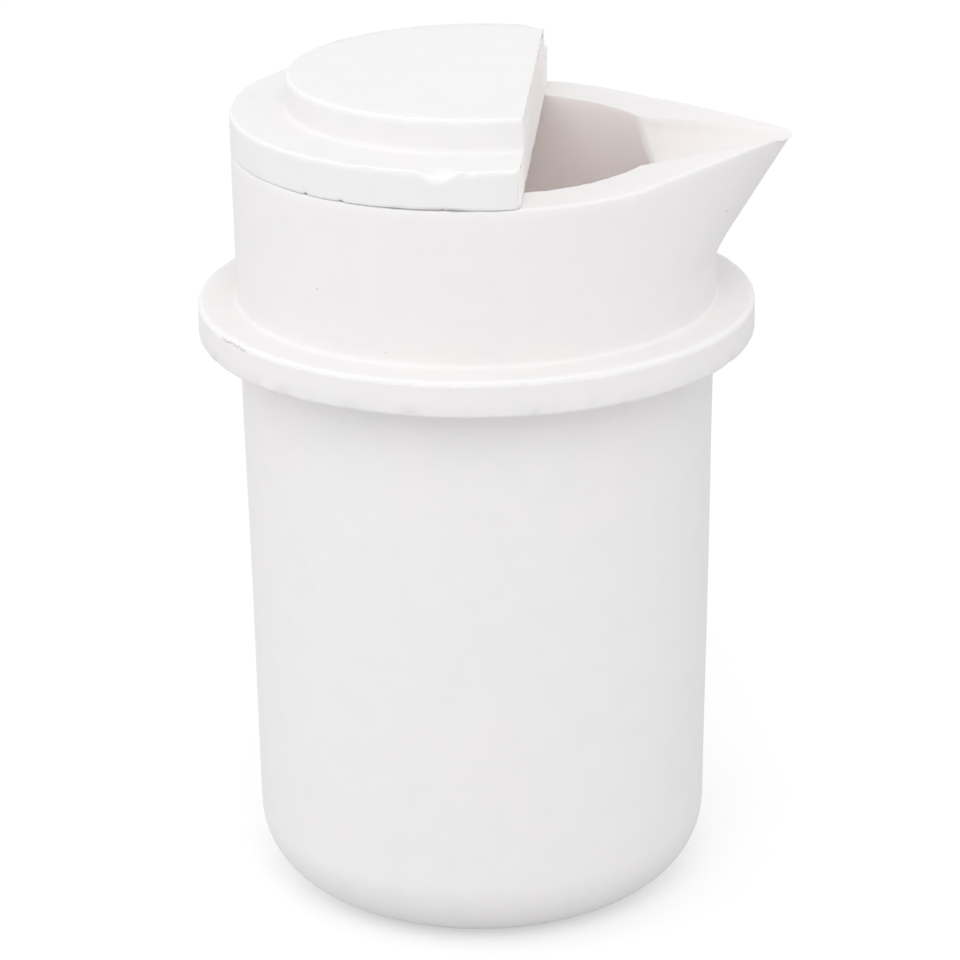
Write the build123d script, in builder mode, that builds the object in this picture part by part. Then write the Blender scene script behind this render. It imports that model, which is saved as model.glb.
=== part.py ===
"""Foundry crucible: a round-bottomed cup with a flange, a pouring beak and a loose half cover.

Millimetres. Z is the axis of the cup and points up. The origin is the centre of the flat
that the cup stands on. The beak points along +X.
"""

import os
from math import acos, asin, cos, hypot, radians, sin

from build123d import *

os.makedirs("parts", exist_ok=True)

# Cup, outside
rim_radius = 30.0
rim_height = 97.2
base_radius = 28.55
base_rounding = 9.65

# Cup, inside
bore_radius = 23.0
bore_foot_radius = 21.9
floor_thickness = 8.0
floor_bevel = 6.5
lip_bevel = 0.3

# Flange that the cup hangs by
flange_radius = 34.65
flange_below_rim = 23.95
flange_thickness = 4.6
flange_edge_bevel = 0.7
flange_top_bevel = 0.9
flange_under_bevel = 0.5

# Pouring beak
beak_depth = 13.5
beak_reach = 40.0
beak_rise = 1.6
beak_rise_start = 21.0
beak_rise_middle_share = 0.60
nose_rounding = 3.0
keel_rounding_share = 0.25

# Channel cut in the beak: a cone of round section, wide at the bore and narrow at the nose
channel_wide_at = 20.0
channel_wide_radius = 11.6
channel_wide_height = 3.2
channel_wide_offset = 0.8
channel_narrow_at = 39.0
channel_narrow_radius = 2.3
channel_narrow_height = 3.6
channel_narrow_offset = -0.8
channel_run_out_share = 0.12
channel_run_in_share = 0.30

# Half cover
cover_thickness = 4.75
cover_front = 7.5
cover_edge_bevel = 0.35
cover_corner_rounding = 1.2
boss_radius = 23.0
boss_height = 4.3
boss_edge_bevel = 0.45
boss_foot_bevel = 0.55

# Chip and small nick broken out of the cover's top edge, and a nick in the flange's
chip_direction = -94.4
chip_width = 5.0
chip_depth = 1.45
chip_reach = 1.7
nick_direction = -86.4
nick_width = 1.4
nick_depth = 0.6
nick_reach = 0.7
flange_nick_direction = -143.3
flange_nick_width = 1.2
flange_nick_depth = 1.0
flange_nick_reach = 0.9


def wall_radius(height):
    """Outside radius of the cup's tapered wall at a height."""
    return base_radius + (rim_radius - base_radius) * height / rim_height


nose_height = rim_height + beak_rise
beak_foot_height = rim_height - beak_depth
foot_radius = wall_radius(beak_foot_height)

# The neck is drawn taller than it ends up, along the keel's slope, and its top is trimmed off
drawn_height = nose_height + beak_rise
drawn_radius = wall_radius(drawn_height)
keel_slope = (nose_height - beak_foot_height) / (beak_reach - foot_radius)
drawn_reach = beak_reach + (drawn_height - nose_height) / keel_slope
flank_angle = acos(drawn_radius / drawn_reach)
nose_centre = drawn_reach - nose_rounding * drawn_reach / drawn_radius
keel_angle = asin(nose_rounding * keel_rounding_share / foot_radius)
flange_underside = rim_height - flange_below_rim
flange_top = flange_underside + flange_thickness
outside = beak_reach + flange_radius


def on_circle(radius, angle, centre=0.0):
    """Point on a circle whose centre lies on the beak's line."""
    return (centre + radius * cos(angle), radius * sin(angle))


def break_edge(radius, height, direction, width, depth, reach):
    """Cuts a notch with two sloping sides out of the upper edge of a round piece."""
    outward = Vector(cos(radians(direction)), sin(radians(direction)), 0)
    inner_end = outward * (radius - reach) + Vector(0, 0, height)
    lower_end = outward * radius + Vector(0, 0, height - depth)
    valley = lower_end - inner_end
    valley_height = reach * depth / hypot(reach, depth)
    tangent = Vector(-sin(radians(direction)), cos(radians(direction)), 0)
    with BuildSketch(Plane(origin=inner_end - valley, x_dir=tangent, z_dir=valley)) as notch:
        with BuildLine():
            Polyline((0, 0), (width, 2 * valley_height), (-width, 2 * valley_height), close=True)
        make_face()
    extrude(notch.sketch, amount=3 * valley.length, mode=Mode.SUBTRACT)


def beak_outline(radius, round_radius, round_centre, round_angle, flank_middle):
    """Closed outline of the neck: the round back, two flanks and the nose."""
    left = on_circle(radius, flank_angle)
    right = on_circle(radius, -flank_angle)
    back = (-radius, 0)
    round_left = on_circle(round_radius, round_angle, round_centre)
    round_right = on_circle(round_radius, -round_angle, round_centre)
    ThreePointArc(right, back, left)
    if flank_middle is None:
        Line(left, round_left)
    else:
        ThreePointArc(left, on_circle(radius, flank_middle), round_left)
    ThreePointArc(round_left, (round_centre + round_radius, 0), round_right)
    if flank_middle is None:
        Line(round_right, right)
    else:
        ThreePointArc(round_right, on_circle(radius, -flank_middle), right)


with BuildPart() as crucible_body:
    # Cup up to the foot of the beak, with its flange
    with BuildSketch(Plane.XZ) as cup_profile:
        with BuildLine():
            wall_foot = (wall_radius(base_rounding), base_rounding)
            rounding_centre = (wall_foot[0] - base_rounding, base_rounding)
            CenterArc(rounding_centre, base_rounding, start_angle=270, arc_size=90)
            Polyline(
                wall_foot,
                (wall_radius(flange_underside), flange_underside),
                (flange_radius, flange_underside),
                (flange_radius, flange_top),
                (wall_radius(flange_top), flange_top),
                (foot_radius, beak_foot_height),
                (0, beak_foot_height),
                (0, 0),
                (rounding_centre[0], 0),
            )
        make_face()
        for corner, bevel in (
            ((wall_radius(flange_underside), flange_underside), flange_under_bevel),
            ((wall_radius(flange_top), flange_top), flange_top_bevel),
            ((flange_radius, flange_underside), flange_edge_bevel),
            ((flange_radius, flange_top), flange_edge_bevel),
        ):
            chamfer(cup_profile.vertices().sort_by_distance(corner)[0], length=bevel)
    revolve(axis=Axis.Z)

    # Neck and beak: the round wall runs on, the two flanks spread to the nose
    with BuildSketch(Plane.XY.offset(beak_foot_height)) as neck_foot:
        with BuildLine():
            beak_outline(foot_radius, foot_radius, 0.0, keel_angle, (flank_angle + keel_angle) / 2)
        make_face()
    with BuildSketch(Plane.XY.offset(drawn_height)) as neck_top:
        with BuildLine():
            beak_outline(drawn_radius, nose_rounding, nose_centre, flank_angle, None)
        make_face()
    loft(ruled=True)

    # Level rim that climbs gently to the nose
    rise_middle = (beak_rise_start + beak_reach) / 2
    with BuildSketch(Plane.XZ) as above_rim:
        with BuildLine():
            ThreePointArc(
                (beak_rise_start, rim_height),
                (rise_middle, rim_height + beak_rise * beak_rise_middle_share),
                (beak_reach, nose_height),
            )
            Polyline(
                (beak_reach, nose_height),
                (beak_reach, drawn_height + beak_rise),
                (-outside, drawn_height + beak_rise),
                (-outside, rim_height),
                (beak_rise_start, rim_height),
            )
        make_face()
    extrude(amount=outside, both=True, mode=Mode.SUBTRACT)

    # Bore with a bevelled floor and lip
    with BuildSketch(Plane.XZ) as bore_profile:
        with BuildLine():
            Polyline(
                (0, floor_thickness),
                (bore_foot_radius, floor_thickness),
                (bore_radius, rim_height - lip_bevel),
                (bore_radius + lip_bevel, rim_height),
                (bore_radius + lip_bevel, drawn_height),
                (0, drawn_height),
                close=True,
            )
        make_face()
        floor_corner = bore_profile.vertices().sort_by_distance((bore_foot_radius, floor_thickness))[0]
        chamfer(floor_corner, length=floor_bevel)
    revolve(axis=Axis.Z, mode=Mode.SUBTRACT)

    # Channel from the bore to the nose
    channel_line = Line(
        (channel_wide_at, channel_wide_offset, rim_height + channel_wide_height),
        (channel_narrow_at, channel_narrow_offset, rim_height + channel_narrow_height),
        mode=Mode.PRIVATE,
    )
    for share in (-channel_run_in_share, 1 + channel_run_out_share):
        middle = channel_line.start_point() + (channel_line.end_point() - channel_line.start_point()) * share
        radius = channel_wide_radius + (channel_narrow_radius - channel_wide_radius) * share
        with BuildSketch(Plane(origin=middle, x_dir=(0, 1, 0), z_dir=(1, 0, 0))):
            Circle(radius)
    loft(ruled=True, mode=Mode.SUBTRACT)
    break_edge(
        flange_radius,
        flange_top,
        flange_nick_direction,
        flange_nick_width,
        flange_nick_depth,
        flange_nick_reach,
    )

crucible_body.part.label = "crucible_body"

with BuildPart() as half_cover:
    # Plate that lies on the rim
    with BuildSketch(Plane.XY.offset(rim_height)) as plate_outline:
        Circle(rim_radius)
        with Locations((cover_front, 0)):
            Rectangle(outside, outside, align=(Align.MIN, Align.CENTER), mode=Mode.SUBTRACT)
        fillet(plate_outline.vertices(), radius=cover_corner_rounding)
    extrude(amount=cover_thickness)

    # Raised boss, cut off on the same straight front
    with BuildSketch(Plane.XY.offset(rim_height + cover_thickness)):
        Circle(boss_radius)
        with Locations((cover_front, 0)):
            Rectangle(outside, outside, align=(Align.MIN, Align.CENTER), mode=Mode.SUBTRACT)
    extrude(amount=boss_height)

    levels = half_cover.edges().filter_by(Plane.XY).group_by(Axis.Z)
    plate_top, boss_top = levels[1], levels[-1]
    round_edges = plate_top.filter_by(GeomType.CIRCLE).sort_by(SortBy.RADIUS)
    plate_rim, boss_foot = round_edges[-1], round_edges[-2]
    chamfer(boss_foot, length=boss_foot_bevel)
    chamfer(boss_top.filter_by(GeomType.CIRCLE), length=boss_edge_bevel)
    chamfer(plate_rim, length=cover_edge_bevel)

    # Broken edge
    for direction, width, depth, reach in (
        (chip_direction, chip_width, chip_depth, chip_reach),
        (nick_direction, nick_width, nick_depth, nick_reach),
    ):
        break_edge(rim_radius, rim_height + cover_thickness, direction, width, depth, reach)

half_cover.part.label = "half_cover"

export_step(crucible_body.part, "parts/crucible_body.step")
export_step(half_cover.part, "parts/half_cover.step")
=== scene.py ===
# %% [markdown]
# # A foundry crucible with a half cover
# This crucible melts a cupful of metal in a small casting furnace. It is white ceramic, pressed and
# fired without a glaze, so it is matt all over and a little rough to the touch. A flange runs round
# it three quarters of the way up, for the ring that it hangs in. A pointed beak with a scooped
# channel pours the metal, and half a disc of the same ceramic lies loose on the rim and keeps the
# heat in while the beak stays open.
#
# We build three things: the cup with its flange and beak, the cover, and a pale studio round them.

# %% Load the measured frame
from math import cos, pi, radians, sin

import bmesh
import bpy
import numpy as np
from mathutils import Matrix, Vector


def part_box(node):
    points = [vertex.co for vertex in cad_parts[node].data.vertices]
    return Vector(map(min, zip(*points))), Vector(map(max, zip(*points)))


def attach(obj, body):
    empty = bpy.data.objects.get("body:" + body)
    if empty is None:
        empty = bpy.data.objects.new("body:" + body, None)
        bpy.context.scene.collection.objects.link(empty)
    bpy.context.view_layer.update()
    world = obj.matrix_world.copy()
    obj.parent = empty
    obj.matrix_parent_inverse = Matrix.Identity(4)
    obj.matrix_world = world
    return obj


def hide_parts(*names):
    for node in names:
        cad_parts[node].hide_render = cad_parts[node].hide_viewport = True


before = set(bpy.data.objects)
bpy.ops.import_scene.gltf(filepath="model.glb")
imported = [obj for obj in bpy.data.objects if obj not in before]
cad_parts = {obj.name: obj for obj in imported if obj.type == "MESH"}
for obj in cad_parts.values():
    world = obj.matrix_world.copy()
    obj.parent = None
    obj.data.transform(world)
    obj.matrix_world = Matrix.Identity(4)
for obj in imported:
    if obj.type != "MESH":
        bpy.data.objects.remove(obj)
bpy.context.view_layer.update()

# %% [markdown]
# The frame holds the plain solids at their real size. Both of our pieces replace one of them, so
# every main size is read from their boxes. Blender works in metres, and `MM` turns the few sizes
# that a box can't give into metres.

MM = 0.001
body_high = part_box("crucible_body")[1]
cover_low, cover_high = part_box("half_cover")
rim_height = cover_low.z
rim_radius = cover_high.y
flange_radius = body_high.y
cover_front = cover_high.x
cover_top = cover_high.z
print("rim", rim_height, "flange radius", flange_radius, "cover front", cover_front)

# %% [markdown]
# The cup is a tapered tube with a rounded foot. These are the rest of its sizes, taken from the
# same drawing as the solids: the draft of the wall, the wall's thickness, and the flange.

# %% Sizes of the cup
base_radius = 28.55 * MM
foot_rounding = 9.65 * MM
bore_radius = 23.0 * MM
bore_foot_radius = 21.9 * MM
floor_height = 8.0 * MM
floor_rounding = 13.0 * MM
flange_underside = rim_height - 23.95 * MM
flange_top = flange_underside + 4.6 * MM
beak_foot = rim_height - 13.5 * MM
rim_edge = 0.42 * MM
lip_edge = 0.25 * MM


def wall_radius(height):
    """Outside radius of the tapered wall at a height."""
    return base_radius + (rim_radius - base_radius) * height / rim_height


def bore_wall(height):
    """Inside radius of the tapered bore at a height."""
    share = (height - floor_height) / (rim_height - floor_height)
    return bore_foot_radius + (bore_radius - bore_foot_radius) * share


print("wall at the rim", (rim_radius - bore_radius) / MM, "mm")

# %% [markdown]
# ## The profile
# A potter's way to make a round thing is to turn it, and the `spin` operator does the same: it turns
# half a profile round the axis. We write the profile down as short runs and corners, with its points
# close together where an edge will be worn and far apart on the plain wall.
#
# Each point also remembers two numbers. `zone` says which part of the cup it is on, and `share` how
# far along that part it lies. The spin copies both to every vertex, and later they tell us which
# vertices to pull out into the beak.

# %% Write down the profile
PLAIN, EDGE, NECK, RIM_EDGE, LAND, LIP, BORE = range(7)
profile = []


def run(start, end, steps, zone=PLAIN):
    """Adds a straight stretch of the profile, without its last point."""
    for step in range(steps):
        share = step / steps
        radius = start[0] + (end[0] - start[0]) * share
        height = start[1] + (end[1] - start[1]) * share
        profile.append((radius, height, zone, share))


def corner(centre, width, height, start, end, steps, zone=EDGE):
    """Adds a rounded corner of the profile, from one angle to another, without its last point."""
    for step in range(steps):
        angle = radians(start + (end - start) * step / steps)
        point = (centre[0] + width * cos(angle), centre[1] + height * sin(angle))
        profile.append((*point, zone, step / steps))


flange_edge = 0.62 * MM
flange_cove = 0.6 * MM
under_cove = 0.5 * MM
foot_centre = (wall_radius(foot_rounding) - foot_rounding, foot_rounding)
under_wall = wall_radius(flange_underside)
top_wall = wall_radius(flange_top)
run((0, 0), (foot_centre[0], 0), 5)
corner(foot_centre, foot_rounding, foot_rounding, 270, 360, 16, PLAIN)
run((wall_radius(foot_rounding), foot_rounding), (under_wall, flange_underside - under_cove), 18)
corner((under_wall + under_cove, flange_underside - under_cove), under_cove, under_cove, 180, 90, 3, PLAIN)
run((under_wall + under_cove, flange_underside), (flange_radius - flange_edge, flange_underside), 4)
corner((flange_radius - flange_edge, flange_underside + flange_edge), flange_edge, flange_edge, 270, 360, 5)
crease_start = flange_top - 1.0 * MM
run((flange_radius, flange_underside + flange_edge), (flange_radius, crease_start), 2)
run((flange_radius, crease_start), (flange_radius, flange_top - flange_edge), 5)
corner((flange_radius - flange_edge, flange_top - flange_edge), flange_edge, flange_edge, 0, 90, 5)
run((flange_radius - flange_edge, flange_top), (top_wall + flange_cove, flange_top), 5)
corner((top_wall + flange_cove, flange_top + flange_cove), flange_cove, flange_cove, 270, 180, 4, PLAIN)
run((top_wall, flange_top + flange_cove), (wall_radius(beak_foot), beak_foot), 4)
run((wall_radius(beak_foot), beak_foot), (rim_radius, rim_height - rim_edge), 16, NECK)
corner((rim_radius - rim_edge, rim_height - rim_edge), rim_edge, rim_edge, 0, 90, 4, RIM_EDGE)
run((rim_radius - rim_edge, rim_height), (bore_radius + lip_edge, rim_height), 42, LAND)
corner((bore_radius + lip_edge, rim_height - lip_edge), lip_edge, lip_edge, 90, 180, 4, LIP)
bore_bend = beak_foot - 1.0 * MM
run((bore_radius, rim_height - lip_edge), (bore_wall(bore_bend), bore_bend), 10, BORE)
floor_centre = (bore_foot_radius - floor_rounding, floor_height + floor_rounding)
run((bore_wall(bore_bend), bore_bend), (bore_wall(floor_centre[1]), floor_centre[1]), 8)
corner(floor_centre, floor_rounding, floor_rounding, 0, -90, 9, PLAIN)
run((floor_centre[0], floor_height), (0, floor_height), 4)
profile.append((0, floor_height, PLAIN, 0))
print("profile points", len(profile))

# %% [markdown]
# ## The turning
# The beak and the worn front need close columns and the back doesn't, so the profile is spun sector
# by sector, with its own step in each. `spin` looks through the whole mesh at every step, so many
# short sectors are also far quicker than one long one. `remove_doubles` then welds the sectors
# together and closes the two poles.

# %% Spin the cup


def turn_profile(sectors):
    """Spins the profile round the axis, sector by sector, and welds the sectors."""
    whole = bmesh.new()
    side = -sectors[0][0] * 2
    for sweep, steps in sectors:
        sector = bmesh.new()
        marks = [sector.verts.layers.float.new(name) for name in ("zone", "share")]
        column = []
        for radius, height, *values in profile:
            vertex = sector.verts.new((radius * cos(side), radius * sin(side), height))
            for mark, value in zip(marks, values):
                vertex[mark] = value
            column.append(vertex)
        column += [sector.edges.new(pair) for pair in zip(column, column[1:])]
        bmesh.ops.spin(
            sector, geom=column, cent=(0, 0, 0), axis=(0, 0, 1), angle=sweep, steps=steps, use_merge=False
        )
        turned = bpy.data.meshes.new("turned_sector")
        sector.to_mesh(turned)
        sector.free()
        whole.from_mesh(turned)
        bpy.data.meshes.remove(turned)
        side += sweep
    bmesh.ops.remove_doubles(whole, verts=whole.verts, dist=0.002 * MM)
    bmesh.ops.recalc_face_normals(whole, faces=whole.faces)
    return whole


beak_sectors = [(radians(26), 62)] * 4
back_sectors = [(radians(59), 42)] * 2
front_sectors = [(radians(34.5), 59)] * 4
cup = turn_profile(beak_sectors + back_sectors + front_sectors)
cup_mesh = bpy.data.meshes.new("crucible_shell")
cup.to_mesh(cup_mesh)
cup.free()
print("cup", len(cup_mesh.vertices), "vertices", len(cup_mesh.polygons), "faces")

# %% [markdown]
# The vertices go into one array of numbers, because a shape that follows a formula is quicker and
# clearer to write for all of them at once.

# %% Read the vertices as arrays


def read_points(mesh):
    """The mesh's vertices as an array of x, y, z rows."""
    points = np.empty(len(mesh.vertices) * 3)
    mesh.vertices.foreach_get("co", points)
    return points.reshape(-1, 3)


def write_points(mesh, points):
    """Puts the rows back into the mesh."""
    mesh.vertices.foreach_set("co", points.ravel())
    mesh.update()


def read_mark(mesh, name):
    """One number for each vertex, from the mark of that name."""
    values = np.empty(len(mesh.vertices))
    mesh.attributes[name].data.foreach_get("value", values)
    return values


points = read_points(cup_mesh)
zone = np.rint(read_mark(cup_mesh, "zone")).astype(int)
share = read_mark(cup_mesh, "share")
print("vertices by zone", np.bincount(zone))

# %% [markdown]
# ## The beak
# On the real crucible the neck is round behind, and in front two flanks leave the circle along its
# tangents and meet at the nose. Lower down the nose sinks back into the wall along a straight keel.
# Between the two levels every point of the outline moves in a straight line, which is how a mould
# with ruled sides would give it.

# %% Work out the outline of the neck at any level
beak_reach = 40.0 * MM
beak_rise = 1.6 * MM
rise_start = 21.0 * MM
nose_rounding = 3.0 * MM
keel_rounding = nose_rounding / 4
drawn_height = rim_height + 2 * beak_rise
drawn_radius = wall_radius(drawn_height)
foot_radius = wall_radius(beak_foot)
keel_slope = (rim_height + beak_rise - beak_foot) / (beak_reach - foot_radius)
drawn_reach = beak_reach + beak_rise / keel_slope
flank_angle = np.arccos(drawn_radius / drawn_reach)
keel_angle = np.arcsin(keel_rounding / foot_radius)
nose_centre = drawn_reach - nose_rounding * drawn_reach / drawn_radius
nose_share = 0.15


def flank_point(along, level):
    """Point of the outline, from the flank's start (0) to the nose (1), at a level from foot to top."""
    on_flank = np.clip(along / (1 - nose_share), 0, 1)
    on_nose = np.clip((along - 1 + nose_share) / nose_share, 0, 1)
    foot_turn = (flank_angle + (keel_angle - flank_angle) * on_flank) * (1 - on_nose)
    top_turn = flank_angle * (1 - on_nose)
    start = drawn_radius * np.cos(flank_angle), drawn_radius * np.sin(flank_angle)
    end_x = nose_centre + nose_rounding * np.cos(top_turn)
    end_y = nose_rounding * np.sin(top_turn)
    top_x = start[0] + (end_x - start[0]) * on_flank
    top_y = start[1] + (end_y - start[1]) * on_flank
    x = (1 - level) * foot_radius * np.cos(foot_turn) + level * top_x
    y = (1 - level) * foot_radius * np.sin(foot_turn) + level * top_y
    return x, y


def neck_radius(turn, height):
    """Outside radius of the neck in a direction from the beak's line, found by halving."""
    level = np.clip((height - beak_foot) / (drawn_height - beak_foot), 0, 1)
    low, high = np.zeros_like(turn), np.ones_like(turn)
    for _ in range(22):
        middle = (low + high) / 2
        x, y = flank_point(middle, level)
        before = np.arctan2(y, x) > turn
        low = np.where(before, middle, low)
        high = np.where(before, high, middle)
    x, y = flank_point((low + high) / 2, level)
    return np.where(turn < flank_angle, np.hypot(x, y), wall_radius(height))


nose_test = neck_radius(np.array([0.0, 0.3]), np.array([rim_height + beak_rise, rim_height]))
print("nose at", nose_test / MM, "mm")

# %% [markdown]
# The rim is level behind and climbs a little to the nose. The channel is a cone of round section
# laid into the beak: wide and deep at the bore, and almost nothing at the nose. Where the two
# surfaces meet, `soft_min` rounds the corner between them a little, as wear and firing do.

# %% Work out the height of the top
channel_wide_at = 20.0 * MM
channel_narrow_at = 39.0 * MM
channel_radius = (11.6 * MM, 2.3 * MM)
channel_centre = (3.2 * MM, 3.6 * MM)
channel_side = (0.8 * MM, -0.8 * MM)
channel_back_share = -0.3
arris_rounding = 1.0 * MM
far_above = 50 * MM


def soft_min(first, second, rounding):
    """The lower of two heights, with the corner between them rounded."""
    blend = np.clip(0.5 + 0.5 * (second - first) / rounding, 0, 1)
    return second + (first - second) * blend - rounding * blend * (1 - blend)


def rim_top(x):
    """Height of the rim, which climbs towards the nose."""
    climb = np.clip((x - rise_start) / (beak_reach - rise_start), 0, 1.2)
    return rim_height + beak_rise * (1.4 * climb - 0.4 * climb**2)


def channel_floor(x, y):
    """Height of the channel's surface, far above the rim where there is no channel."""
    share = (x - channel_wide_at) / (channel_narrow_at - channel_wide_at)
    radius = channel_radius[0] + (channel_radius[1] - channel_radius[0]) * share
    centre = rim_height + channel_centre[0] + (channel_centre[1] - channel_centre[0]) * share
    side = channel_side[0] + (channel_side[1] - channel_side[0]) * share
    inside = radius**2 - (y - side) ** 2
    cut = (inside > 0) & (share > channel_back_share)
    return np.where(cut, centre - np.sqrt(np.maximum(inside, 0)), far_above + rim_height)


def top_height(x, y):
    """Height of the top of the neck: the rim, or the channel where it is cut lower."""
    return soft_min(rim_top(x), channel_floor(x, y), arris_rounding)


print("channel at the bore", (channel_floor(np.array(bore_radius), np.array(0.0)) - rim_height) / MM)

# %% [markdown]
# Now each zone of vertices is moved onto these surfaces, column by column: the neck's outside, its
# worn outer edge, the flat land on top, the lip, and the upper part of the bore, which ends lower
# where the channel opens into it. The outer edge is a parabola from the neck to the land. It leaves
# the neck at the neck's own slope, so there is no ledge under the overhanging nose.

# %% Pull out the beak and sink the channel
turn = np.arctan2(points[:, 1], points[:, 0])
plain_radius = np.hypot(points[:, 0], points[:, 1])
ahead, sideways = np.cos(turn), np.sin(turn)

outline = np.full(len(points), rim_radius)
for _ in range(4):
    outline_height = rim_top(outline * ahead)
    outline = neck_radius(np.abs(turn), outline_height)

radius, height = plain_radius.copy(), points[:, 2].copy()

on_neck = zone == NECK
climbed = beak_foot + share * (outline_height - rim_edge - beak_foot)
height = np.where(on_neck, climbed, height)
radius = np.where(on_neck, neck_radius(np.abs(turn), np.maximum(climbed, beak_foot)), radius)

on_edge = zone == RIM_EDGE
edge_start = neck_radius(np.abs(turn), outline_height - rim_edge)
edge_radius = outline - (outline - edge_start) * (1 - share) ** 2 - rim_edge * share**2
edge_height = outline_height - rim_edge * (1 - share) ** 2
edge_height = np.minimum(edge_height, top_height(edge_radius * ahead, edge_radius * sideways))
radius, height = np.where(on_edge, edge_radius, radius), np.where(on_edge, edge_height, height)

on_land = zone == LAND
land_radius = outline - rim_edge + (bore_radius + lip_edge - outline + rim_edge) * share
land_height = top_height(land_radius * ahead, land_radius * sideways)
radius, height = np.where(on_land, land_radius, radius), np.where(on_land, land_height, height)

on_lip = zone == LIP
lip_radius = bore_radius + lip_edge * (1 - np.sin(share * pi / 2))
lip_height = top_height(lip_radius * ahead, lip_radius * sideways) - lip_edge * (1 - np.cos(share * pi / 2))
radius, height = np.where(on_lip, lip_radius, radius), np.where(on_lip, lip_height, height)

on_bore = zone == BORE
mouth = top_height(bore_radius * ahead, bore_radius * sideways) - lip_edge
sunk = mouth + (bore_bend - mouth) * share
radius, height = np.where(on_bore, bore_wall(sunk), radius), np.where(on_bore, sunk, height)

points = np.stack([radius * ahead, radius * sideways, height], axis=1)
write_points(cup_mesh, points)
print("nose reaches", points[:, 0].max() / MM, "of", body_high.x / MM)

# %% [markdown]
# ## Wear and unevenness
# A hand-finished ceramic is never quite true. Two kinds of unevenness go into the shape itself: a
# slow swell of a few hundredths of a millimetre over the whole body, and a ragged bite along every
# edge, where grains have come away. The grain of the surface is finer than the mesh, and is left to
# the material.

# %% Measure unevenness at points
chance = np.random.default_rng(4)
broad_size, small_size, grain_size = 3.4 * MM, 1.5 * MM, 0.7 * MM
grain_depth = 0.035 * MM


def waves(points, size, count=48):
    """Smooth noise, mostly from -1 to 1, made of sine waves that run in all directions."""
    direction = chance.normal(size=(count, 3))
    direction /= np.linalg.norm(direction, axis=1)[:, None]
    length = size * chance.uniform(0.7, 1.6, count)
    phase = chance.uniform(0, 2 * pi, count)
    return np.sin(points @ (direction / length[:, None]).T * 2 * pi + phase).sum(axis=1) / np.sqrt(count)


def normals_of(mesh):
    """The outward direction at each vertex."""
    values = np.empty(len(mesh.vertices) * 3)
    mesh.vertex_normals.foreach_get("vector", values)
    return values.reshape(-1, 3)


def bitten(points, worn, depth):
    """How deep the edge is bitten at each point: broad bites with a finer grain on them."""
    broad = np.maximum(waves(points, broad_size) + 0.25, 0) ** 1.3
    small = np.maximum(waves(points, small_size) - 0.1, 0) ** 1.3
    grain = np.maximum(waves(points, grain_size), -0.4)
    return worn * (depth * (0.45 * broad + 0.55 * small) + grain_depth * grain)


print("unevenness of a test point", waves(np.zeros((1, 3)), 1 * MM))

# %% [markdown]
# `worn` says how much of the bite each vertex gets: most on the edges of the flange and the rim,
# less on the lip and beside the channel, and fading out along the faces next to an edge. The nose
# is nearly smooth on the real one, so the wear is calmed there.

# %% Swell the walls and bite the edges
swell_size, swell_depth = 30 * MM, 0.04 * MM
edge_bite = 0.13 * MM
arris_reach = 0.5 * MM
calm_from, calm_reach = 33 * MM, 4 * MM

channel_gap = np.abs(channel_floor(points[:, 0], points[:, 1]) - rim_top(points[:, 0]))
arris = np.where(on_land, np.exp(-((channel_gap / arris_reach) ** 2)), 0)
land_border = np.where(on_land, 0.55 * np.exp(-share * 14) + 0.4 * np.exp(-(1 - share) * 22), 0)
neck_border = np.where(on_neck, 0.55 * np.exp(-(1 - share) * 24), 0)
bore_border = np.where(on_bore, 0.4 * np.exp(-share * 16), 0)
nose_calm = 1 - 0.8 * np.clip((points[:, 0] - calm_from) / calm_reach, 0, 1)
worn = (zone == EDGE) * 0.75 + on_edge * 0.55 + on_lip * 0.4 + arris * 0.4
worn = np.clip(worn + land_border + neck_border + bore_border, 0, 1) * nose_calm

swell = waves(points, swell_size) * swell_depth * (points[:, 2] > foot_rounding)
depth = bitten(points, worn, edge_bite) - swell
points = points - normals_of(cup_mesh) * depth[:, None]
under_top = (zone == RIM_EDGE) | on_land
points[:, 2] = np.where(under_top, np.minimum(points[:, 2], rim_top(points[:, 0])), points[:, 2])
write_points(cup_mesh, points)
print("deepest bite", depth.max() / MM, "mm")

# %% [markdown]
# A knock breaks a shallow scoop out of an edge. `chip_off` finds every vertex that stands beyond the
# scoop's surface and pushes it straight back onto that surface. The surface is a slanting plane in
# the middle of the chip, and rises to meet the edge at both ends, as a parabola does.

# %% A helper that chips an edge


def chip_off(points, direction, radius, height, width, depth, reach, lower=False):
    """Breaks a scoop out of a round edge and returns the new points."""
    outward = np.array([cos(radians(direction)), sin(radians(direction)), 0])
    along = np.array([-outward[1], outward[0], 0])
    up = np.array([0, 0, -1.0 if lower else 1.0])
    from_edge = points - outward * radius - np.array([0, 0, height])
    slope = np.hypot(depth, reach)
    normal = (outward * depth + up * reach) / slope
    deepest = depth * reach / slope
    across = from_edge @ along / (width / 2)
    beyond = from_edge @ normal + deepest * (1 - across**2)
    near = (np.linalg.norm(from_edge, axis=1) < max(width, 2 * slope)) & (np.abs(across) < 1)
    return points - normal * np.where(near & (beyond > 0), beyond, 0)[:, None]


# %% [markdown]
# The flange has five small chips along its lower edge. Near its left end a thin dark crease runs
# under the upper edge, with a pit where it starts. Directions are degrees round the axis, from the
# beak, and the front of the photograph is near -90.

# %% Chips and a crease on the flange
under_chips = (
    (-97.0, 2.6, 0.45),
    (-91.5, 1.8, 0.4),
    (-88.0, 1.2, 0.35),
    (-54.4, 1.8, 0.4),
    (-38.5, 1.4, 0.4),
)
under_reach = 0.6 * MM
for direction, width, depth in under_chips:
    points = chip_off(
        points, direction, flange_radius, flange_underside, width * MM, depth * MM, under_reach, lower=True
    )
points = chip_off(points, -143.3, flange_radius, flange_top, 1.2 * MM, 1.0 * MM, 0.9 * MM)

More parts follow.
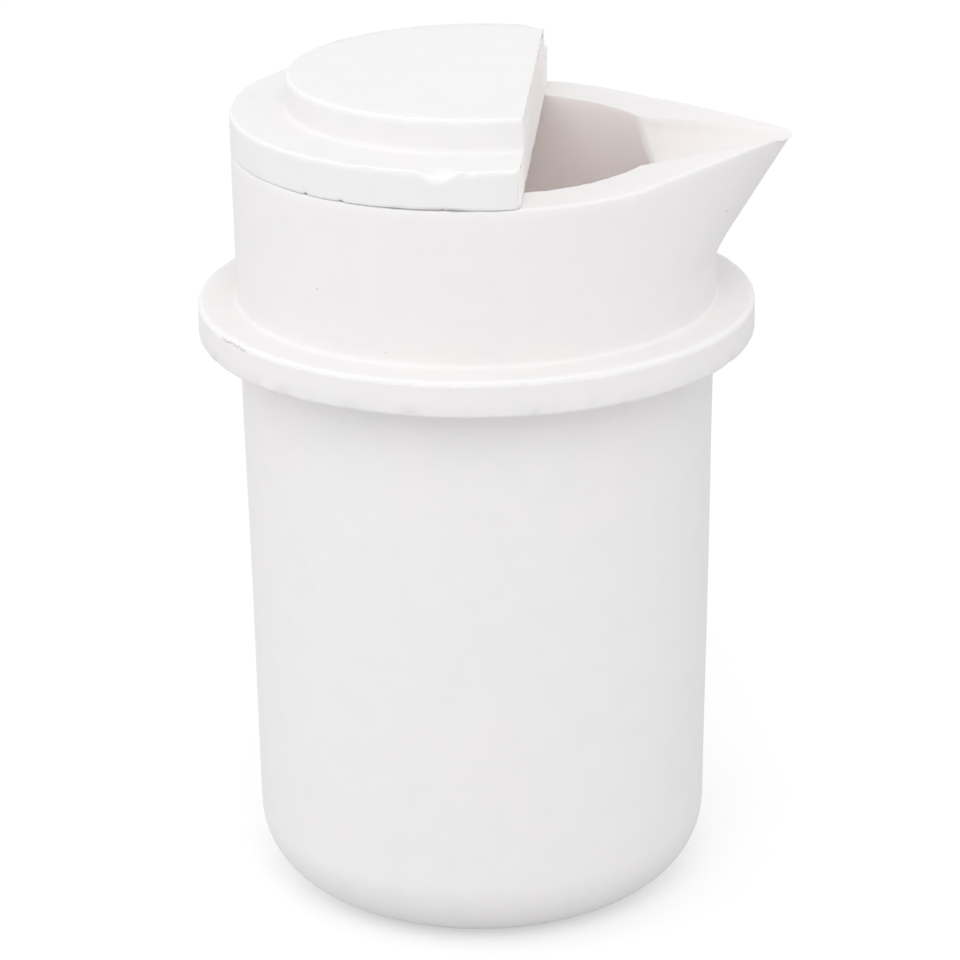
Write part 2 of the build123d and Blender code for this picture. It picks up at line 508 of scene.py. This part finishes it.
crease_middle, crease_half = -143.8, 5.2
crease_height, crease_width, crease_depth = flange_top - 0.62 * MM, 0.10 * MM, 0.20 * MM
turn_now = np.degrees(np.arctan2(points[:, 1], points[:, 0]))
wander = 0.10 * MM * np.sin(turn_now * 1.9) + 0.05 * MM * np.sin(turn_now * 4.3)
in_height = np.exp(-(((points[:, 2] - crease_height - wander) / crease_width) ** 2))
in_turn = np.clip((crease_half - np.abs(turn_now - crease_middle)) * 1.2, 0, 1)
outer = np.hypot(points[:, 0], points[:, 1]) > flange_radius - 1.0 * MM
sunk_by = crease_depth * in_height * in_turn * outer
points = points - np.stack([ahead, sideways, 0 * ahead], axis=1) * sunk_by[:, None]
write_points(cup_mesh, points)
print("deepest crease", sunk_by.max() / MM, "mm")

# %% [markdown]
# Three marks are left on the vertices for the material: how worn a place is, because a rubbed edge is
# a little paler; where painted light goes, a paler, warmer white inside the bore and the channel that
# stands in for the light thrown about inside the cup; and the painted shade in the flange's crease.

# %% Mark the worn places, the painted light and the painted crease shade


def leave_mark(mesh, name, values):
    """Stores one number per vertex for the material to read."""
    mesh.attributes.new(name, "FLOAT", "POINT").data.foreach_set("value", values.astype(np.float32))


channel_depth, fade_reach = 1.5 * MM, 14 * MM
in_channel = on_land * np.clip(-(points[:, 2] - rim_top(points[:, 0])) / channel_depth, 0, 1)
fades = np.clip((points[:, 0] - bore_radius) / fade_reach, 0, 1)
inside_bore = (plain_radius < bore_radius + 0.01 * MM) & (points[:, 2] > floor_height - 0.5 * MM)
# Painted light: a paler, warmer white inside the bore and fading along the channel, standing in for the
# light thrown about inside the cup
painted_inner_light = np.maximum(inside_bore * 1.0, in_channel * 0.45 * (1 - fades))
leave_mark(cup_mesh, "wear", worn)
leave_mark(cup_mesh, "painted_inner_light", painted_inner_light)
# Painted shade: a dark line along the crease under the flange's upper edge
leave_mark(cup_mesh, "painted_crease_shade", in_height * in_turn * outer)


def finish_piece(mesh, name, node):
    """Makes the object, rides it on the body, and lets it stand for its solid."""
    for polygon in mesh.polygons:
        polygon.use_smooth = True
    piece = bpy.data.objects.new(name, mesh)
    bpy.context.scene.collection.objects.link(piece)
    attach(piece, "root")
    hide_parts(node)
    return piece


crucible = finish_piece(cup_mesh, "crucible_cup", "crucible_body")

# %% [markdown]
# ## The half cover
# The cover was pressed as a whole disc with a raised boss, and sawn across. We do the same: spin the
# disc, saw it with `bisect_plane`, and close the cut. The sawn face and a strip beside it are then
# sliced into small squares, so that the long sharp edges have enough points to be worn.

# %% Spin the disc of the cover
plate_top = cover_low.z + 4.75 * MM
boss_radius = 23.0 * MM
plate_edge = 0.34 * MM
under_edge = 0.16 * MM
boss_edge = 0.45 * MM
boss_cove = 0.65 * MM
seam_reach = 2.2 * MM

profile.clear()
run((0, rim_height), (rim_radius - seam_reach, rim_height), 10)
run((rim_radius - seam_reach, rim_height), (rim_radius - under_edge, rim_height), 6, LIP)
corner((rim_radius - under_edge, rim_height + under_edge), under_edge, under_edge, 270, 360, 3, LIP)
run((rim_radius, rim_height + under_edge), (rim_radius, plate_top - plate_edge), 12)
corner((rim_radius - plate_edge, plate_top - plate_edge), plate_edge, plate_edge, 0, 90, 4)
run((rim_radius - plate_edge, plate_top), (rim_radius - seam_reach, plate_top), 9, RIM_EDGE)
run((rim_radius - seam_reach, plate_top), (boss_radius + boss_cove, plate_top), 7)
corner((boss_radius + boss_cove, plate_top + boss_cove), boss_cove, boss_cove, 270, 180, 4, PLAIN)
run((boss_radius, plate_top + boss_cove), (boss_radius, cover_top - boss_edge), 7)
corner((boss_radius - boss_edge, cover_top - boss_edge), boss_edge, boss_edge, 0, 90, 4)
run((boss_radius - boss_edge, cover_top), (0, cover_top), 12)
profile.append((0, cover_top, PLAIN, 0))

disc = turn_profile([(radians(60), 100)] * 6)
print("disc", len(disc.verts), "vertices")

# %% Saw it across and close the cut
strip_rows = (0.2 * MM, 0.4 * MM, 0.8 * MM)
square = 0.45 * MM
snap = 0.02 * MM
boss_half = np.sqrt(boss_radius**2 - cover_front**2)
plate_half = np.sqrt(rim_radius**2 - cover_front**2)


def slice_faces(shape, faces, place, direction, clear_outer=False):
    """Cuts the given faces along a plane and returns them with the new ones."""
    geometry = dict.fromkeys(part for face in faces for part in (face, *face.edges, *face.verts))
    made = bmesh.ops.bisect_plane(
        shape, geom=list(geometry), dist=snap, plane_co=place, plane_no=direction, clear_outer=clear_outer
    )
    return [part for part in made["geom"] if isinstance(part, bmesh.types.BMFace)]


for row in strip_rows:
    slice_faces(disc, disc.faces[:], (cover_front - row, 0, 0), (1, 0, 0))
slice_faces(disc, disc.faces[:], (cover_front, 0, 0), (1, 0, 0), clear_outer=True)
strip = [
    face
    for face in disc.faces
    if abs(face.normal.z) > 0.5 and face.calc_center_median().x > cover_front - strip_rows[-1]
]
slices = np.arange(-rim_radius + square, rim_radius, square)
for place in slices:
    strip = slice_faces(disc, strip, (0, place, 0), (0, 1, 0))
open_edges = [edge for edge in disc.edges if edge.is_boundary]
front = bmesh.ops.holes_fill(disc, edges=open_edges, sides=0)["faces"]
arris_mark = disc.verts.layers.float.new("arris")
for vertex in {vertex for face in front for vertex in face.verts}:
    vertex[arris_mark] = 1
uprights = [end * (half - row) for end in (-1, 1) for half in (boss_half, plate_half) for row in strip_rows]
levels = [rim_height + row for row in strip_rows]
levels += [top - row for top in (plate_top, cover_top) for row in strip_rows]
levels += list(np.arange(rim_height + strip_rows[-1] + square, cover_top - strip_rows[-1], square))
for place in [*slices, *uprights]:
    front = slice_faces(disc, front, (0, place, 0), (0, 1, 0))
for place in levels:
    front = slice_faces(disc, front, (0, 0, place), (0, 0, 1))
bmesh.ops.recalc_face_normals(disc, faces=disc.faces)
print("sawn disc", len(disc.verts), "vertices", len(disc.faces), "faces, front", len(front))
cover_mesh = bpy.data.meshes.new("half_cover_mesh")
disc.to_mesh(cover_mesh)
disc.free()

# %% [markdown]
# Sawing leaves knife edges. Each point near the sawn edge moves back onto a small quarter circle, by
# an amount that depends only on how far from the edge it lies. The two corners of the plate's
# outline get a larger rounding, by drawing the points in towards the rounding's centre, so the
# plate's side wall is left out of the small one. The saw leaves points up to `snap` away from its
# plane, and these count as on the sawn face too.

# %% Round the sawn edge and the two corners
sawn_rounding = 0.3 * MM
corner_rounding = 1.2 * MM

points = read_points(cover_mesh)
zone = np.rint(read_mark(cover_mesh, "zone")).astype(int)
on_front = points[:, 0] > cover_front - 1.5 * snap
on_arris = on_front & (read_mark(cover_mesh, "arris") > 0.5)
across, level = np.abs(points[:, 1]), points[:, 2]
from_top = np.where(across < boss_half, cover_top - level, plate_top - level)
from_side = np.where(level > plate_top, boss_half - across, cover_top)
inside = np.minimum(np.minimum(from_top, from_side), level - rim_height)
from_edge = np.where(on_front, np.maximum(inside, 0), cover_front - points[:, 0])
short = np.clip(sawn_rounding - from_edge, 0, sawn_rounding)
drop = sawn_rounding - np.sqrt(sawn_rounding**2 - short**2)
drop = np.where(on_arris, sawn_rounding * (np.sqrt(2) - 1), drop)
on_wall = np.hypot(points[:, 0], points[:, 1]) > rim_radius - 0.01 * MM
drop = np.where(on_wall & (level > rim_height + plate_edge) & (level < plate_top - plate_edge), 0, drop)
points = points - normals_of(cover_mesh) * drop[:, None]

corner_x = cover_front - corner_rounding
corner_y = np.sqrt((rim_radius - corner_rounding) ** 2 - corner_x**2)
side = np.sign(points[:, 1])
away = np.stack([points[:, 0] - corner_x, np.abs(points[:, 1]) - corner_y])
bearing = np.arctan2(away[1], away[0])
toward = np.cos(bearing), np.sin(bearing)
along = corner_x * toward[0] + corner_y * toward[1]
to_rim = np.sqrt(along**2 + rim_radius**2 - (rim_radius - corner_rounding) ** 2) - along
to_front = corner_rounding / np.maximum(toward[0], 0.01)
wedge = (bearing > 0) & (bearing < np.arctan2(corner_y, corner_x)) & (level < plate_top + 0.01 * MM)
draw_in = np.where(wedge, corner_rounding / np.minimum(to_rim, to_front), 1)
points[:, 0] = np.where(wedge, corner_x + away[0] * draw_in, points[:, 0])
points[:, 1] = np.where(wedge, side * (corner_y + away[1] * draw_in), points[:, 1])
write_points(cover_mesh, points)
print("drawn in most", draw_in.min())

# %% [markdown]
# The cover is the more knocked about of the two. A wide chip and a nick are broken out of its front
# edge, the far corner of its boss is worn off, and three small chips lie along its lower edge. Its
# underside has lifted off the rim a little in front, where the seam shows dark. The sawn face is given
# the same painted light as the inside of the bore: a paler, warmer white that stands in for light.

# %% Wear the cover
cover_bite = 0.12 * MM
seam_gap = 0.11 * MM
seam_middle, seam_spread = -97, 11
seam_waves = 4 * MM
lower_chips = ((-127.6, 0.8, 0.35), (-117.5, 1.0, 0.4), (-92.9, 0.8, 0.45))
lower_reach = 0.5 * MM

normals = normals_of(cover_mesh)
turn = np.degrees(np.arctan2(points[:, 1], points[:, 0]))
worn = np.clip((zone == EDGE) * 0.9 + on_arris * 0.35 + (from_edge < 0.25 * MM) * 0.25, 0, 1)
depth = bitten(points, worn, cover_bite)
depth -= waves(points, swell_size) * swell_depth * (level > rim_height + plate_edge)
points = points - normals * depth[:, None]
under_rim = (zone == LIP) & (level < rim_height + 2 * under_edge)
reached = np.clip((np.hypot(points[:, 0], points[:, 1]) - rim_radius + seam_reach) / seam_reach, 0, 1)
openness = 0.10 + 0.70 * np.exp(-(((turn - seam_middle) / seam_spread) ** 2))
openness = openness + 0.14 * waves(points, seam_waves)
points[:, 2] += np.where(under_rim, np.clip(openness, 0, 1) * seam_gap * reached, 0)
points[:, 2] = np.maximum(points[:, 2], rim_height)
points = chip_off(points, -94.4, rim_radius, plate_top, 5.4 * MM, 1.45 * MM, 1.7 * MM)
points = chip_off(points, -86.4, rim_radius, plate_top, 1.4 * MM, 0.6 * MM, 0.7 * MM)
points = chip_off(points, 71.0, boss_radius, cover_top, 6.0 * MM, 0.5 * MM, 1.6 * MM)
for direction, width, depth in lower_chips:
    points = chip_off(
        points, direction, rim_radius, rim_height, width * MM, depth * MM, lower_reach, lower=True
    )
write_points(cover_mesh, points)
leave_mark(cover_mesh, "wear", worn)
# Painted light: the sawn face gets the same paler, warmer white as the inside of the bore
leave_mark(cover_mesh, "painted_inner_light", on_front * 0.7)
# The cover has no painted crease shade
leave_mark(cover_mesh, "painted_crease_shade", np.zeros(len(points)))
cover = finish_piece(cover_mesh, "cover_half", "half_cover")
print("cover box", points.min(axis=0) / MM, points.max(axis=0) / MM)

# %% [markdown]
# ## The ceramic
# Fused ceramic of this kind is matt, almost white and very slightly pink, with a fine grain, faint
# clouds and a few dark specks of iron. All of it is procedural and reads Object coordinates, so it
# stays on the piece from every side.
#
# `Shade` wraps a socket, so that shader maths reads like sums. `make` adds any other node, from its
# type, its settings and its sockets.

# %% A small class for shader maths


class Shade:
    """A socket that can be added, multiplied and so on, as a number can."""

    def __init__(self, tree, socket=None):
        self.tree, self.socket = tree, socket

    def make(self, kind, settings, sockets, output=0):
        """Adds a node, sets it up, and returns one of its outputs."""
        made = self.tree.nodes.new(kind)
        for name, value in settings.items():
            setattr(made, name, value)
        for name, value in sockets.items():
            if isinstance(value, Shade):
                self.tree.links.new(value.socket, made.inputs[name])
            else:
                made.inputs[name].default_value = value
        return Shade(self.tree, made.outputs[output])

    def maths(self, operation, first, second):
        return self.make("ShaderNodeMath", {"operation": operation}, {0: first, 1: second})

    def __add__(self, other):
        return self.maths("ADD", self, other)

    def __sub__(self, other):
        return self.maths("SUBTRACT", self, other)

    def __rsub__(self, other):
        return self.maths("SUBTRACT", other, self)

    def __mul__(self, other):
        return self.maths("MULTIPLY", self, other)

    def __truediv__(self, other):
        return self.maths("DIVIDE", self, other)

    __radd__ = __add__
    __rmul__ = __mul__

    def between(self, low, high):
        """Rises smoothly from 0 to 1 while the value goes from low to high."""
        limits = {"Value": self, "From Min": low, "From Max": high}
        return self.make("ShaderNodeMapRange", {"interpolation_type": "SMOOTHSTEP"}, limits)

    def blend(self, first, second):
        """Mixes two colours, the first where this value is 0 and the second where it is 1."""
        return self.make("ShaderNodeMix", {"data_type": "RGBA"}, {0: self, 6: first, 7: second}, output=2)

    def clouds(self, size, detail=2.0):
        """Noise from 0 to 1 whose clouds are about size across."""
        return self.make("ShaderNodeTexNoise", {}, {"Vector": self, "Scale": 1 / size, "Detail": detail})


# %% [markdown]
# The colour is built up in layers: two whites in broad clouds, a painted light inside the bore and the
# channel and on the sawn face, which is a paler, warmer white standing in for the light thrown about
# inside the cup, a slightly paler white on rubbed edges, a painted shade in the flange's crease, and
# the specks on top. The outside white is a little darker, so the painted light inside stands out more.
# The grain goes into the bump.

# %% Make the ceramic
speck_colour = (0.36, 0.31, 0.29, 1)
# Colour of the painted shade in the flange's crease
painted_crease_shade_colour = (0.55, 0.51, 0.48, 1)
rubbed_colour = (0.885, 0.876, 0.873, 1)
# Colour of the painted light inside the bore, in the channel and on the sawn face
painted_inner_light_colour = (0.995, 0.955, 0.942, 1)
iron_specks = (
    Vector((-17.09, -24.45, 85.77)) * MM,
    Vector((-8.75, -28.41, 79.24)) * MM,
    Vector((31.06, -7.37, 90.75)) * MM,
)
cloud_size, patch_size, fine_size = 18 * MM, 4 * MM, 0.55 * MM
pink_from, pink_to = 48 * MM, 80 * MM
patch_shade = 0.955
speck_cell, speck_core, speck_rim = 3 * MM, 0.05 * MM, 0.15 * MM


def ceramic(name, white, pink_white, specks=()):
    """A matt, unglazed ceramic with fine grain, faint clouds and a few dark specks."""
    material = bpy.data.materials.new(name)
    material.use_nodes = True
    tree = material.node_tree
    shader = tree.nodes["Principled BSDF"]
    start = Shade(tree)
    place = start.make("ShaderNodeTexCoord", {}, {}, output="Object")
    height = start.make("ShaderNodeSeparateXYZ", {}, {"Vector": place}, output=2)
    wear = start.make("ShaderNodeAttribute", {"attribute_name": "wear"}, {}, output="Fac")
    painted_inner_light = start.make("ShaderNodeAttribute", {"attribute_name": "painted_inner_light"}, {}, output="Fac")
    painted_crease_shade = start.make("ShaderNodeAttribute", {"attribute_name": "painted_crease_shade"}, {}, output="Fac")

    broad = place.clouds(cloud_size)
    middle = place.clouds(patch_size, 3.0)
    fine = place.clouds(fine_size, 3.0)
    pinkness = broad.between(0.3, 0.7) * 0.5 + height.between(pink_from, pink_to) * 0.5
    colour = pinkness.blend((*white, 1), (*pink_white, 1))
    shaded = tuple(part * patch_shade for part in white)
    colour = (middle.between(0.35, 0.75) * 0.35).blend(colour, (*shaded, 1))
    # Painted light: paler and warmer inside the bore, in the channel and on the sawn face
    colour = painted_inner_light.blend(colour, painted_inner_light_colour)
    colour = (wear * 0.6).blend(colour, rubbed_colour)
    # Painted shade: the crease on the flange is darkened
    colour = (painted_crease_shade * 0.7).blend(colour, painted_crease_shade_colour)

    cell = {"Vector": place, "Scale": 1 / speck_cell}
    near = start.make("ShaderNodeTexVoronoi", {}, cell, output="Distance")
    chosen = start.make("ShaderNodeTexVoronoi", {}, cell, output="Color")
    chosen = start.make("ShaderNodeSeparateColor", {}, {"Color": chosen})
    dots = (1 - near.between(0.015, 0.035)) * chosen.between(0.93, 0.95) * 0.5
    for speck in specks:
        ends = {0: place, 1: speck}
        reach = start.make("ShaderNodeVectorMath", {"operation": "DISTANCE"}, ends, output="Value")
        ragged = reach + (fine - 0.5) * (0.2 * MM)
        dots = dots + (1 - ragged.between(speck_core, speck_rim))
    dots = start.make("ShaderNodeClamp", {}, {"Value": dots})
    colour = (dots * 0.85).blend(colour, speck_colour)

    tree.links.new(colour.socket, shader.inputs["Base Color"])
    rough = 0.86 + fine * 0.1
    tree.links.new(rough.socket, shader.inputs["Roughness"])
    shader.inputs["Specular IOR Level"].default_value = 0.25
    grain = fine * 0.6 + middle * 0.8 - dots * 1.5
    bump = start.make("ShaderNodeBump", {}, {"Height": grain, "Strength": 0.5, "Distance": 0.06 * MM})
    tree.links.new(bump.socket, shader.inputs["Normal"])
    return material


crucible.data.materials.append(
    ceramic("pressed_ceramic", (0.818, 0.811, 0.808), (0.822, 0.802, 0.803), iron_specks)
)
cover.data.materials.append(ceramic("sawn_ceramic", (0.822, 0.819, 0.817), (0.825, 0.811, 0.811)))
print("materials", [material.name for material in bpy.data.materials])

# %% [markdown]
# ## The studio
# The photograph is a catalogue picture: even light from all round, a few large soft lamps, and a
# floor so bright that it is white. The floor is pale grey to the crucible and white to
# the camera, so it lights the crucible's underside gently and still keeps the shadow at the foot.

# %% Floor and air
floor_grey = 0.70
floor_white = 0.538
floor_glow = 0.46
air_strength = 0.88

floor = bmesh.new()
bmesh.ops.create_grid(floor, x_segments=1, y_segments=1, size=4.0)
floor_mesh = bpy.data.meshes.new("studio_floor")
floor.to_mesh(floor_mesh)
floor.free()
studio_floor = bpy.data.objects.new("studio_floor", floor_mesh)
bpy.context.scene.collection.objects.link(studio_floor)


def seen_directly(start):
    """1 for what the camera sees, also in a gloss or through glass, and 0 for other light."""
    seen = start.make("ShaderNodeLightPath", {}, {}, output="Is Camera Ray")
    for kind in ("Is Glossy Ray", "Is Transmission Ray"):
        seen = seen + start.make("ShaderNodeLightPath", {}, {}, output=kind)
    return start.make("ShaderNodeClamp", {}, {"Value": seen})


def grey(value):
    """A grey of that brightness, as a colour."""
    return (value, value, value, 1)


floor_material = bpy.data.materials.new("white_floor")
floor_material.use_nodes = True
floor_shader = floor_material.node_tree.nodes["Principled BSDF"]
seen = seen_directly(Shade(floor_material.node_tree))
floor_colour = seen.blend(grey(floor_grey), grey(floor_white))
floor_light = seen.blend(grey(0), grey(floor_glow))
floor_material.node_tree.links.new(floor_colour.socket, floor_shader.inputs["Base Color"])
floor_material.node_tree.links.new(floor_light.socket, floor_shader.inputs["Emission Color"])
floor_shader.inputs["Emission Strength"].default_value = 1.0
floor_shader.inputs["Roughness"].default_value = 1.0
floor_shader.inputs["Specular IOR Level"].default_value = 0.0
studio_floor.data.materials.append(floor_material)

world = bpy.data.worlds.new("studio_air")
world.use_nodes = True
air = world.node_tree.nodes["Background"]
air_colour = seen_directly(Shade(world.node_tree)).blend(grey(air_strength), grey(1))
world.node_tree.links.new(air_colour.socket, air.inputs["Color"])
bpy.context.scene.world = world
bpy.context.scene.view_settings.view_transform = "Standard"
print("floor", floor_grey, "air", air_strength)

# %% [markdown]
# Three soft lamps stand round the crucible. The high one in front looks over the near rim into the
# bore. A low one on the left gives that side its slightly brighter edge, and a faint one on the right
# lights the sawn face. Light is thrown to and fro many times inside a white cup before it comes out
# again, so it is followed for 12 bounces here. With the usual 4 the bore would look grey.

# %% Three large soft lamps
lamp_distance, lamp_size = 0.85, 0.8
lamps = (("front_lamp", -87, 0.95, 4.2), ("left_lamp", -176, 0.45, 1.4), ("right_lamp", -5, 0.45, 0.35))
aim = Vector((0, 0, rim_height / 2))


def soft_lamp(name, direction, lamp_height, power):
    """A square area lamp at a direction round the crucible, turned towards it."""
    data = bpy.data.lights.new(name, "AREA")
    data.size, data.energy = lamp_size, power
    lamp = bpy.data.objects.new(name, data)
    turned = radians(direction)
    lamp.location = (lamp_distance * cos(turned), lamp_distance * sin(turned), lamp_height)
    lamp.rotation_mode = "QUATERNION"
    lamp.rotation_quaternion = (aim - lamp.location).to_track_quat("-Z", "Y")
    bpy.context.scene.collection.objects.link(lamp)
    print(name, "at", lamp.location)


for name, direction, lamp_height, power in lamps:
    soft_lamp(name, direction, lamp_height, power)
bpy.context.scene.cycles.diffuse_bounces = 12

# %% [markdown]
# The camera stands a little to the right of the front, looks down by about twenty degrees, and has a
# long lens, so the crucible's sides stay nearly upright in the picture. It leans by a fraction of a
# degree, as a hand-held camera does.

# %% Camera
eye = Vector((35.36, -465.22, 229.46)) * MM
target = Vector((0.16, 0.20, 52.53)) * MM
lens_mm, sensor_mm = 147.48, 36
lean = radians(0.654)

forward = (target - eye).normalized()
level = forward.cross(Vector((0, 0, 1))).normalized()
upright = level.cross(forward)
right = level * cos(lean) - upright * sin(lean)
up = level * sin(lean) + upright * cos(lean)
camera_data = bpy.data.cameras.new("camera")
camera_data.lens, camera_data.sensor_width = lens_mm, sensor_mm
camera = bpy.data.objects.new("camera", camera_data)
axes = Matrix((right, up, -forward)).transposed().to_4x4()
camera.matrix_world = Matrix.Translation(eye) @ axes
bpy.context.scene.collection.objects.link(camera)
bpy.context.scene.camera = camera
print("camera at", eye, "looking", forward)
